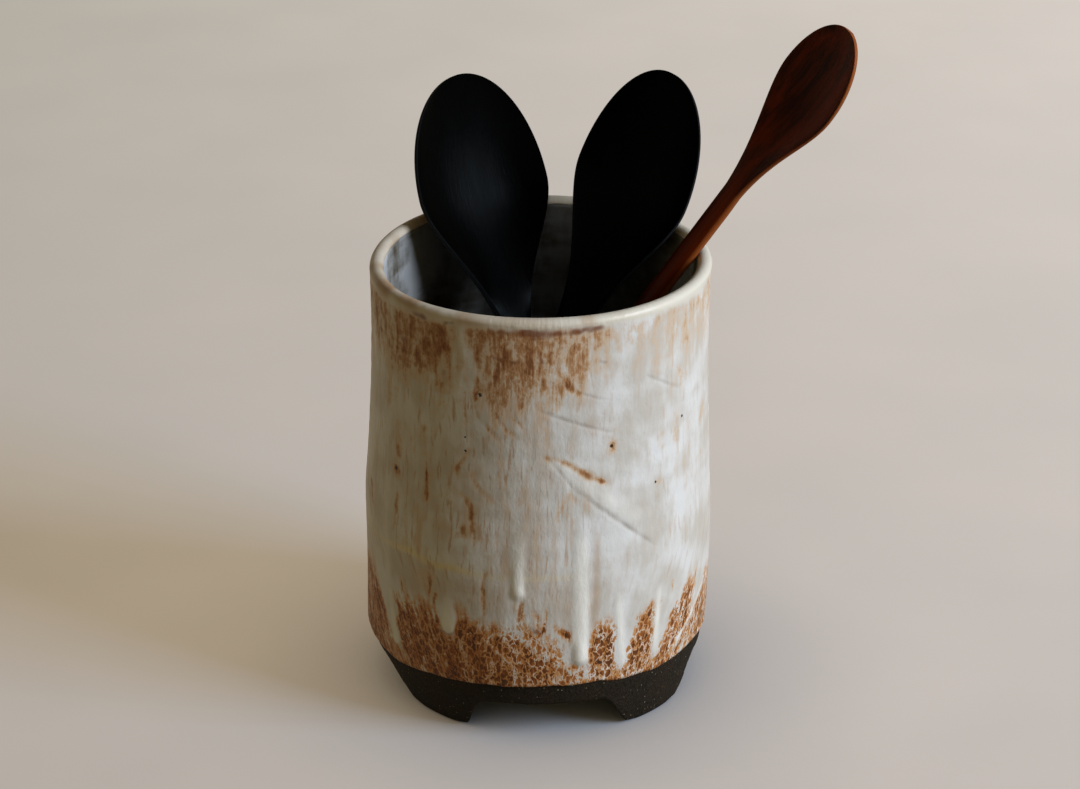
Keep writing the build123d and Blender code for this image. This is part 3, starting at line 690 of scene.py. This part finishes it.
# Amount of break: the rust mask, parted into cells by the cream net low down, and shaken by streaks
smooth = dict(interpolation_type="SMOOTHSTEP")
in_cell = add(material, "MapRange", {0: edges, 1: 0.02, 2: 0.2}, **smooth)[0]
deep = add(material, "Math", {0: lot, 1: 0.5, 2: 0.78}, operation="MULTIPLY_ADD")[0]
netted = add(material, "Math", {0: in_cell, 1: deep, 2: -0.95}, operation="MULTIPLY_ADD")[0]
net_share = add(material, "Math", {0: mask["net"], 1: 0.66, 2: 0.16}, operation="MULTIPLY_ADD")[0]
parting = add(material, "Math", {0: netted, 1: net_share, 2: 1.0}, operation="MULTIPLY_ADD")[0]
amount = add(material, "Math", {0: mask["rust"], 1: parting}, operation="MULTIPLY")[0]
for shaking, calm, wild in ((blot, 0.1, 1.2), (streak, 0.3, 1.0), (hair, 0.2, 0.9)):
    centred = add(material, "Math", {0: shaking, 1: 0.5}, operation="SUBTRACT")[0]
    reach = add(material, "MapRange", {0: mask["rust"], 2: 0.4, 3: calm, 4: wild})[0]
    amount = add(material, "Math", {0: centred, 1: reach, 2: amount}, operation="MULTIPLY_ADD")[0]
for cover, most in ((mask["thick"], -0.85), (mask["lip"], -0.75)):
    uncovered = add(material, "Math", {0: cover, 1: most, 2: 1.0}, operation="MULTIPLY_ADD")[0]
    amount = add(material, "Math", {0: amount, 1: uncovered}, operation="MULTIPLY")[0]


def lay_on(material, body, layers):
    """Colours laid one over another. Each layer covers what is below by its share, which rises smoothly
    from 0 to its most as the layer's own socket goes from a low to a high value."""
    for share, low, high, most, color in layers:
        laid = add(material, "MapRange", {0: share, 1: low, 2: high, 4: most}, **smooth)[0]
        body = add(material, "Mix", {0: laid, 6: body, 7: color}, data_type="RGBA")[2]
    return body


# The colours of the glaze, then four tones of break, paler in the band than over the foot, then marks
milky = add(material, "Math", {0: streak, 1: 1.2, 2: cloud}, operation="MULTIPLY_ADD")[0]
fine = add(material, "MapRange", {0: hair, 1: 0.54, 2: 0.68}, **smooth)[0]
hairs = add(material, "Math", {0: fine, 1: mask["thread"]}, operation="MULTIPLY")[0]
# The stain layer also carries painted shade: tan clouds on the side away from the window.
layers = [
    (cloud, 0.35, 0.65, 0.9, linear("#d0cfcc")), (milky, 0.95, 1.35, 0.4, linear("#b9b1a5")),
    (mask["lip"], 0.0, 1.0, 1.0, linear("#e0ded4")), (mask["stain_and_shade"], 0.0, 1.0, 1.0, linear("#b0906c")),
    (mask["tide"], 0.0, 1.0, 1.0, linear("#e5dbb6")), (hairs, 0.0, 1.0, 0.75, linear("#ab835d")),
    (mask["thick"], 0.0, 1.0, 1.0, linear("#f0f1ee")),
]
for low, high, band_code, skirt_code in (
    (0.02, 0.4, "#d0bba5", "#c68f55"), (0.32, 0.66, "#b0855c", "#995b29"), (0.6, 0.92, "#855634", "#653713"),
    (0.92, 1.2, "#5e391c", "#43240c"),
):
    tones = {0: mask["low"], 6: linear(band_code), 7: linear(skirt_code)}
    layers.append((amount, low, high, 1.0, add(material, "Mix", tones, data_type="RGBA")[2]))
layers.append((mask["grey"], 0.0, 1.0, 0.7, linear("#857a6e")))
layers.append((mask["burnt"], 0.1, 0.75, 0.85, linear("#744023")))
body = lay_on(material, linear("#e1e4e7"), layers)

# Pinholes where gas broke through: angle, height and radius, each a near-black pit about a millimetre wide
pinholes = [
    (-20, 161, 0.85), (-24.8, 134.9, 0.55), (-25, 141, 0.4), (-54.7, 116, 0.8), (24.1, 137.2, 0.7),
    (55.2, 139.5, 0.6), (41.6, 115.3, 0.5), (101, 133, 0.6), (142, 160, 0.7), (171, 118, 0.5),
    (-118, 142, 0.7), (-143, 108, 0.55),
]
rim_share, core_share, pit = 1.35, 0.5, 0.0
for pin_angle, pin_height, pin_radius in pinholes:
    centre = (math.radians(pin_angle) * belly_radius * mm, pin_height * mm, 0.0)
    off = add(material, "VectorMath", {0: sheet, 1: centre}, operation="DISTANCE")["Value"]
    rim, core = rim_share * pin_radius * mm, core_share * pin_radius * mm
    hole = add(material, "MapRange", {0: off, 1: rim, 2: core}, **smooth)[0]
    pit = add(material, "Math", {0: hole, 1: pit}, operation="MAXIMUM")[0]
body = add(material, "Mix", {0: pit, 6: body, 7: linear("#1c0f08")}, data_type="RGBA")[2]

roughness = add(material, "MapRange", {0: amount, 1: 0.1, 2: 0.9, 3: 0.4, 4: 0.6}, **smooth)[0]
hills = add(material, "Math", {0: streak, 1: 0.75}, operation="MULTIPLY")[0]
for raised, share in (
    (hair, 0.12), (blot, 0.7), (amount, -0.5), (mask["grey"], -0.8), (mask["thick"], 0.9), (pit, -1.5),
):
    hills = add(material, "Math", {0: raised, 1: share, 2: hills}, operation="MULTIPLY_ADD")[0]
shader = {"Base Color": body, "Roughness": roughness, "Specular IOR Level": 0.4}
finish_material(material, shader, (hills, 0.4 * mm))

# Inside glaze. The same pale glaze poured in and swirled out, thin enough to show the rings of the
# thrower's fingers. It lines the wall and the floor and meets the outer coat inside the lip.
liner_columns, liner_wall_rows = 300, 120
ring_pitch, ring_depth, behind_liner, under_liner = 9, 0.14, 1.4, 2.8
rings_fade, rings_gone = 180, 190
angle = np.arange(liner_columns) / liner_columns * 360 - 180
top = lip_height - lip_sink(angle)
liner_floor = floor_height + coat
floor_reach = inside_radius(liner_floor) - floor_corner
floor_radius = np.linspace(0, 1, 16)[:, None] * floor_reach + 0 * angle
corner_turn = np.radians(np.linspace(0, 90, 9))[1:, None]
corner_radius = floor_reach + (floor_corner - coat) * np.sin(corner_turn) + 0 * angle
corner_height = liner_floor + (floor_corner - coat) * (1 - np.cos(corner_turn)) + 0 * angle
share = np.linspace(0, 1, liner_wall_rows)[1:, None]
wall_height = corner_height[-1] + (top - corner_height[-1]) * share
rings = np.sin(wall_height / ring_pitch * 2 * math.pi + 4 * mottle(angle, wall_height, 70, 50, 61))
rings = rings * (0.3 + 0.7 * mottle(angle, wall_height, 60, 18, 62))
rings = rings * (1 - eased(wall_height, rings_fade, rings_gone))
wall_radius = inside_radius(wall_height + lip_sink(angle) * share) - coat + ring_depth * rings
back_height = top - coat - (top - floor_height + 2) * np.linspace(0, 1, 8)[:, None]
back_radius = inside_radius(np.clip(back_height, floor_height, lip_height)) + behind_liner
under_radius = np.linspace(0.9, 0, 6)[:, None] * floor_reach + 0 * angle
radius = np.concatenate([floor_radius, corner_radius, wall_radius, back_radius, under_radius])
under_height = floor_height - under_liner + 0 * under_radius
height = [liner_floor + 0 * floor_radius, corner_height, wall_height, back_height, under_height]
height = np.concatenate(height)
inside_glaze = make_piece(
    "inside_glaze_liner", lathe_points(angle, radius, height), False, "crock", "liner_glaze", "inside_glaze"
)

# The same satin glaze, thinner: warm grey to pale blue-grey, with drawn-out streaks and faint brown rings
# where it broke over the ridges of the throwing. Low down and at the back the lining is darkened towards
# near black, as painted shade for the deep, unlit inside of the crock.
material = new_material("thin_liner_satin_glaze", inside_glaze)
place = add(material, "TexCoord", {})["Object"]
level = add(material, "Mapping", {0: place, 3: (0.3, 0.3, 1.0)})[0]
upright = add(material, "Mapping", {0: place, 3: (1.0, 1.0, 0.4)})[0]
ring_width, drawn_width = 12.0, 13.0
ring_tone = add(material, "TexNoise", {0: level, 2: 1 / (ring_width * mm), 3: 4.0, 4: 0.6})[0]
drawn = add(material, "TexNoise", {0: upright, 2: 1 / (drawn_width * mm), 3: 5.0, 4: 0.6})[0]
mixed = add(material, "Math", {0: ring_tone, 1: 0.9, 2: drawn}, operation="MULTIPLY_ADD")[0]
parts = add(material, "SeparateXYZ", {0: place})
below = add(material, "MapRange", {0: parts["Z"], 1: 0.17, 2: 0.125, 4: 0.88}, **smooth)[0]
behind = add(material, "MapRange", {0: parts["Y"], 2: 0.055, 4: 0.8}, **smooth)[0]
painted_deep_shade = add(material, "Math", {0: below, 1: behind}, operation="MAXIMUM")[0]
layers = [(mixed, 0.7, 1.1, 1.0, linear("#c4cbd2")), (mixed, 0.82, 0.66, 0.6, linear("#4a341d"))]
body = lay_on(material, linear("#706c62"), layers)
# Painted shade: low down and at the back the lining is mixed towards near black.
body = add(material, "Mix", {0: painted_deep_shade, 6: body, 7: linear("#1e1a0f")}, data_type="RGBA")[2]
shader = {"Base Color": body, "Roughness": 0.4, "Specular IOR Level": 0.25}
finish_material(material, shader, (mixed, 0.3 * mm))

# Spoons. Each is carved from one stick: a crowned oval handle that swells into a long egg-shaped bowl with
# a thin, eased rim. They stand on the floor of the crock and lean on its lip, each free to be lifted out
# along its handle.
spoons = {
    "black_spoon_left": dict(
        length=259.6, bowl_length=116.4, widest_share=0.57, bowl_width=65.3, neck_width=11.8, butt_width=13.0,
        thickness=8.4, bowl_depth=9.5, bowl_wall=4.2, edge=2.4, scoop=12.0, roll=-4.4,
    ),
    "black_spoon_right": dict(
        length=260.9, bowl_length=115.3, widest_share=0.57, bowl_width=54.5, neck_width=14.2, butt_width=13.0,
        thickness=8.4, bowl_depth=8.5, bowl_wall=4.2, edge=2.4, scoop=29.7, roll=-31.8,
    ),
    "brown_spoon": dict(
        length=323.8, bowl_length=88.0, widest_share=0.65, bowl_width=40.6, neck_width=8.6, butt_width=7.2,
        thickness=7.0, bowl_depth=6.5, bowl_wall=3.2, edge=1.8, scoop=0.1, roll=-43.6,
    ),
}
butt_rounding_share, butt_length = 0.72, 2.8
neck_swell_power, scoop_power, scoop_run_share = 1.35, 1.7, 1.1
crown_share, face_reach_share, back_reach_share, side_bulge_share = 0.22, 0.55, 0.62, 0.5
last_tip_angle, butt_rows, handle_rows, bowl_rows = 88.6, 8, 70, 80
face_columns, side_columns, smoothing_passes = 48, 10, 3
size_in_box, worn_columns = 0.9985, 5


def spoon_stations(spoon):
    """Distance from the butt, half width and fullness of the bowl, row by row. The half width grows evenly
    along the handle, swells into the bowl by a power of the share, and rounds off by a cosine."""
    handle, bowl, widest = spoon["length"] - spoon["bowl_length"], spoon["bowl_length"], spoon["widest_share"]
    half_butt, half_neck, half_bowl = (spoon[part] / 2 for part in ("butt_width", "neck_width", "bowl_width"))
    x = np.linspace(butt_length, handle, handle_rows)[:-1]
    x = np.concatenate([np.linspace(0, butt_length, butt_rows)[:-1], x])
    rounded = 1 - (1 - butt_rounding_share) * np.clip(1 - x / butt_length, 0, 1) ** 2
    along_handle = (half_butt + (half_neck - half_butt) * x / handle) * rounded
    share = np.linspace(0, 1, bowl_rows)[:-1]
    fullness = share * share * (3 - 2 * share)
    swell = share**neck_swell_power * (1 - share) + fullness * share
    tip = np.radians(last_tip_angle * np.linspace(0, 1, handle_rows))
    to_tip = widest + (1 - widest) * np.sin(tip)
    distance = np.concatenate([x, handle + bowl * widest * share, handle + bowl * to_tip])
    half_swell = half_neck + (half_bowl - half_neck) * swell
    half = np.concatenate([along_handle, half_swell, half_bowl * np.cos(tip)])
    return distance, half, np.concatenate([0 * x, fullness, np.cos(tip) ** 2])


def bezier(controls, share):
    """A curve from its control points, each weighted by its Bernstein term of the share along it."""
    degree = len(controls) - 1
    weights = (math.comb(degree, n) * share**n * (1 - share) ** (degree - n) for n in range(degree + 1))
    return sum(weight * control for weight, control in zip(weights, controls))


def spoon_surface(spoon):
    """Points of the spoon along X, hollow side up, row by row and round each section. A section is four
    curves: the sagging face, a bulging side, the hanging back and the other side."""
    x, half, fullness = (values[:, None] for values in spoon_stations(spoon))
    scoop_start = spoon["length"] - scoop_run_share * spoon["bowl_length"]
    rim = spoon["scoop"] * np.clip((x - scoop_start) / (spoon["length"] - scoop_start), 0, 1) ** scoop_power
    run_in = spoon["bowl_length"] * (spoon["widest_share"] + scoop_run_share - 1)
    in_bowl = np.clip((x - scoop_start) / run_in, 0, 1)
    slim = 1 - (1 - butt_rounding_share) * np.clip(1 - x / butt_length, 0, 1) ** 2
    crown = spoon["thickness"] * crown_share * slim * (1 - in_bowl)
    handle_side = spoon["thickness"] * (1 - 2 * crown_share) * slim
    side = handle_side + (spoon["edge"] - handle_side) * in_bowl
    face = rim - (spoon["bowl_depth"] * fullness - crown) * 4 / 3
    hang = spoon["edge"] * crown_share * in_bowl + crown
    hang = hang + (spoon["bowl_depth"] + spoon["bowl_wall"] - spoon["edge"]) * fullness
    under, back = rim - side, rim - side - hang * 4 / 3
    bulge = half + side * side_bulge_share
    long_way = (1 - np.cos(np.linspace(0, math.pi, face_columns + 1)[:-1])) / 2
    short_way = np.linspace(0, 1, side_columns + 1)[:-1]
    across = [
        bezier([-half, -half * face_reach_share, half * face_reach_share, half], long_way),
        bezier([half, bulge, half], short_way),
        bezier([half, half * back_reach_share, -half * back_reach_share, -half], long_way),
        bezier([-half, -bulge, -half], short_way),
    ]
    up = [
        bezier([rim, face, face, rim], long_way),
        bezier([rim, rim - side / 2, under], short_way),
        bezier([under, back, back, under], long_way),
        bezier([under, rim - side / 2, rim], short_way),
    ]
    y, z = np.concatenate(across, 1), np.concatenate(up, 1)
    for _ in range(smoothing_passes):
        y, z = ((np.roll(v, 1, 1) + 2 * v + np.roll(v, -1, 1)) / 4 for v in (y, z))
    points = np.stack(np.broadcast_arrays(x, y, z), -1)
    middles = points[[0, -1]].mean(1)
    butt = [middles[0] + (points[0] - middles[0]) * scale for scale in (0.0, 0.5, 0.9)]
    tip = [middles[1] + (points[-1] - middles[1]) * scale for scale in (0.5, 0.0)]
    return np.concatenate([np.array(butt), points, np.array(tip)])


def place_spoon(name, points, roll):
    """The spoon turned to lean as its lift axis does and rolled about it, with its box centred on the CAD
    node's, and drawn in by a hair so that it stays inside that box."""
    along = np.array(next(joint["axis"] for joint in frame["joints"] if joint["child"] == name))
    flat = along[:2] / np.linalg.norm(along[:2])
    lean = math.acos(along[2])
    facing = np.array([-flat[0] * math.cos(lean), -flat[1] * math.cos(lean), math.sin(lean)])
    roll = math.radians(roll)
    face = facing * math.cos(roll) + np.cross(facing, along) * math.sin(roll)
    placed = points @ np.array([along, np.cross(face, along), face]) * mm * size_in_box
    low, high = (np.array(corner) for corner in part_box(name))
    return placed + (low + high) / 2 - (placed.min((0, 1)) + placed.max((0, 1))) / 2


def carve_spoon(name, slot):
    """One spoon as a piece. Its grain field holds where each point lay in the stick before the spoon was
    stood up, and its edge field is a bell curve round the section, 1 in the middle of each side, where
    hands and pots rub it and where a painted highlight stands for the light that the edges catch."""
    points = spoon_surface(spoons[name])
    column = np.arange(2 * (face_columns + side_columns)) % (face_columns + side_columns)
    # Edge wear and painted highlight: a bell curve round each side of the section.
    worn = np.exp(-(((column - face_columns - side_columns / 2) / worn_columns) ** 2)) + 0 * points[..., 0]
    placed = place_spoon(name, points, spoons[name]["roll"])
    return make_piece(name + "_carved", placed, False, name, name, slot, grain=points * mm, worn=worn)


def wood_grain(material, width, along):
    """Noise stretched along the stick: its streaks are width mm across and some tens of times as long."""
    stick = add(material, "Attribute", {}, attribute_name="grain")["Vector"]
    drawn = add(material, "Mapping", {0: stick, 3: (along, 1.0, 1.0)})[0]
    return add(material, "TexNoise", {0: drawn, 2: 1 / (width * mm), 3: 5.0, 4: 0.6, 8: 0.4})[0]


# Ebonised hardwood, oiled and rubbed: black, a dull blue-grey along its edges, partly worn and partly a
# painted highlight where the edges catch the light, with hair-fine pores along the grain and a low satin
# sheen.
material = new_material("ebonised_oiled_hardwood")
pores = wood_grain(material, 1.1, 0.03)
cloudy = wood_grain(material, 9.0, 0.25)
worn = add(material, "Attribute", {}, attribute_name="worn")["Fac"]
tone = add(material, "Mix", {0: pores, 6: linear("#000000"), 7: linear("#040404")}, data_type="RGBA")[2]
# Painted highlight and wear: blue-grey along the middle of each side edge.
tone = add(material, "Mix", {0: worn, 6: tone, 7: linear("#26292c")}, data_type="RGBA")[2]
sheen = add(material, "MapRange", {0: cloudy, 1: 0.3, 2: 0.7, 3: 0.28, 4: 0.38})[0]
shader = {"Base Color": tone, "Roughness": sheen, "Specular IOR Level": 0.025}
shader["Specular Tint"] = linear("#e1f3ff")
finish_material(material, shader, (pores, 0.12 * mm))
for name in ("black_spoon_left", "black_spoon_right"):
    carve_spoon(name, "black_wood").data.materials.append(material)

# Rosewood, oiled: red-brown with darker bands that sweep along the bowl, lighter along its edges, partly
# rubbed and partly a painted highlight where they catch the light, with fine dark pores and an even satin
# sheen.
material = new_material("oiled_rosewood")
bands = wood_grain(material, 8.0, 0.12)
pores = wood_grain(material, 0.9, 0.03)
mixed = add(material, "Math", {0: pores, 1: 0.45, 2: bands}, operation="MULTIPLY_ADD")[0]
worn = add(material, "Attribute", {}, attribute_name="worn")["Fac"]
rubbed_and_lit_edges = add(material, "Math", {0: worn, 1: 0.75}, operation="MULTIPLY")[0]
color = lay_on(material, linear("#200701"), [(mixed, 0.5, 0.95, 1.0, linear("#6e2a0b"))])
# Painted highlight and wear: a lighter orange-brown along the middle of each side edge.
color = add(material, "Mix", {0: rubbed_and_lit_edges, 6: color, 7: linear("#a05a2c")}, data_type="RGBA")[2]
shader = {"Base Color": color, "Roughness": 0.4, "Specular IOR Level": 0.08}
finish_material(material, shader, (pores, 0.1 * mm))
carve_spoon("brown_spoon", "brown_wood").data.materials.append(material)

# Floor. A broad flat sheet of pale, slightly warm and uneven paper that runs far out on every side. Its glow
# is painted lighter at the right and towards the back, as painted window light, and far out it takes the tone
# of the room's wall.
sheet_half, sheet_steps = 8000.0, 60
line = np.linspace(-1, 1, sheet_steps + 1) ** 3 * sheet_half
corners = np.stack(np.broadcast_arrays(line, line[:, None], 0.0), -1).reshape(-1, 3) * mm
row, column = np.meshgrid(np.arange(sheet_steps), np.arange(sheet_steps), indexing="ij")
first = (row * len(line) + column).ravel()
beyond = first + len(line)
mesh = bpy.data.meshes.new("paper_sheet")
mesh.from_pydata(corners.tolist(), [], np.stack([first, first + 1, beyond + 1, beyond], -1).tolist())
floor = bpy.data.objects.new("paper_sheet", mesh)
bpy.context.scene.collection.objects.link(floor)


def eye_rays(material):
    """The light path, and 1 for the rays that show things to the eye: direct, off gloss or through glass."""
    ray = add(material, "LightPath", {})
    seen = ray["Is Camera Ray"]
    for kind in ("Is Glossy Ray", "Is Transmission Ray"):
        seen = add(material, "Math", {0: seen, 1: ray[kind]}, operation="MAXIMUM")[0]
    return ray, seen


# Matt drawing paper, no gloss. What the eye sees of it is mostly a glow of its own, with painted light and
# shade in it, and painted shade in the corner under the crock; the window's light adds a little to that, so
# that the crock casts its shadow.
material = new_material("pale_matt_paper", floor)
uneven_width, shade_reach = 110.0, 110.0
place = add(material, "TexCoord", {})["Object"]
parts = add(material, "SeparateXYZ", {0: place})
uneven = add(material, "TexNoise", {0: place, 2: 1 / (uneven_width * mm), 3: 2.0})[0]
# Painted light and shadow: the glow is lighter towards the window at the right and the back, and darker and
# warmer at the near left, where the crock's shadow falls.
to_right = add(material, "MapRange", {0: parts[0], 1: -0.5, 2: 0.55})[0]
to_back = add(material, "MapRange", {0: parts[1], 1: -0.5})[0]
near, far = (
    add(material, "Mix", {0: to_right, 6: linear(left), 7: linear(right)}, data_type="RGBA")[2]
    for left, right in (("#96846d", "#ab977e"), ("#9f9480", "#cec0af"))
)
lift = add(material, "Mix", {0: to_back, 6: near, 7: far}, data_type="RGBA")[2]
strength = add(material, "MapRange", {0: uneven, 1: 0.3, 2: 0.7, 3: 0.97, 4: 1.03})[0]
# Painted shade: an occlusion test darkens the glow near and under the crock.
open_sky = add(material, "AmbientOcclusion", {"Distance": shade_reach * mm}, samples=12)["AO"]
painted_contact_shade = add(material, "MapRange", {0: open_sky, 1: 0.1, 2: 0.95})[0]
ray, seen = eye_rays(material)
for share in (seen, painted_contact_shade):
    strength = add(material, "Math", {0: strength, 1: share}, operation="MULTIPLY")[0]
camera_tint, bounce_tint, unlit, wall_tone = map(linear, ("#7c8b9e", "#7c796c", "#303030", "#bcb1a2"))
tints = {0: ray["Is Camera Ray"], 6: bounce_tint, 7: camera_tint}
tint = add(material, "Mix", tints, data_type="RGBA")[2]
reach = add(material, "VectorMath", {0: place}, operation="LENGTH")["Value"]
away = add(material, "MapRange", {0: reach, 1: 1.0, 2: 2.6}, **smooth)[0]
lift = add(material, "Mix", {0: away, 6: lift, 7: wall_tone}, data_type="RGBA")[2]
tint = add(material, "Mix", {0: away, 6: tint, 7: unlit}, data_type="RGBA")[2]
paper = add(material, "BsdfDiffuse", {"Color": tint, "Roughness": 0.5})[0]
glow = add(material, "Emission", {"Color": lift, "Strength": strength})[0]
both = add(material, "AddShader", {0: paper, 1: glow})[0]
add(material, "OutputMaterial", {"Surface": both})

# Light. Soft daylight through a window at the right, a little in front, and a dim warm room all round.
window_angle, window_height, window_distance, window_wide, window_tall = 67.0, 30.0, 2400.0, 1000.0, 1000.0
light = bpy.data.lights.new("window", "AREA")
light.shape, light.size, light.size_y = "RECTANGLE", window_wide * mm, window_tall * mm
light.energy, light.color = 54.0, (0.97, 1.02, 1.09)
window = bpy.data.objects.new("window", light)
spread = window_distance * math.cos(math.radians(window_height))
window.location = Vector(
    (spread * math.sin(math.radians(window_angle)), -spread * math.cos(math.radians(window_angle)),
     window_distance * math.sin(math.radians(window_height)))
) * mm
window.rotation_euler = (-window.location).to_track_quat("-Z", "Y").to_euler()
bpy.context.scene.collection.objects.link(window)
world = bpy.data.worlds.new("room")
world.use_nodes = True
world.node_tree.nodes.clear()
toward = add(world, "TexCoord", {})["Generated"]
up = add(world, "SeparateXYZ", {0: toward})["Z"]
glow = add(world, "MapRange", {0: up, 1: 0.05, 2: 0.7, 3: 0.4, 4: 0.04})[0]
wall_glow = add(world, "MapRange", {0: up, 1: 0.2, 2: 0.6, 3: 1.0, 4: 0.1})[0]
seen = eye_rays(world)[1]
color = add(world, "Mix", {0: seen, 6: linear("#ffdb90"), 7: wall_tone}, data_type="RGBA")[2]
strength = add(world, "Mix", {0: seen, 2: glow, 3: wall_glow})[0]
room = add(world, "Background", {"Color": color, "Strength": strength})["Background"]
add(world, "OutputWorld", {"Surface": room})
bpy.context.scene.world = world

# Camera. A long lens looking down at the crock from straight in front.
camera_tilt, camera_distance, lens_length = 24.2, 1500.0, 116.0
camera_target = Vector((-0.3, 0.0, 130.7)) * mm
camera_data = bpy.data.cameras.new("camera")
camera_data.lens, camera_data.sensor_width = lens_length, 36.0
camera_data.clip_start, camera_data.clip_end = 0.05, 30.0
camera = bpy.data.objects.new("camera", camera_data)
tilt = math.radians(camera_tilt)
camera.location = camera_target + Vector((0, -math.cos(tilt), math.sin(tilt))) * camera_distance * mm
camera.rotation_euler = (math.radians(90 - camera_tilt), 0, 0)
bpy.context.scene.collection.objects.link(camera)
bpy.context.scene.camera = camera
bpy.context.scene.view_settings.view_transform = "Standard"
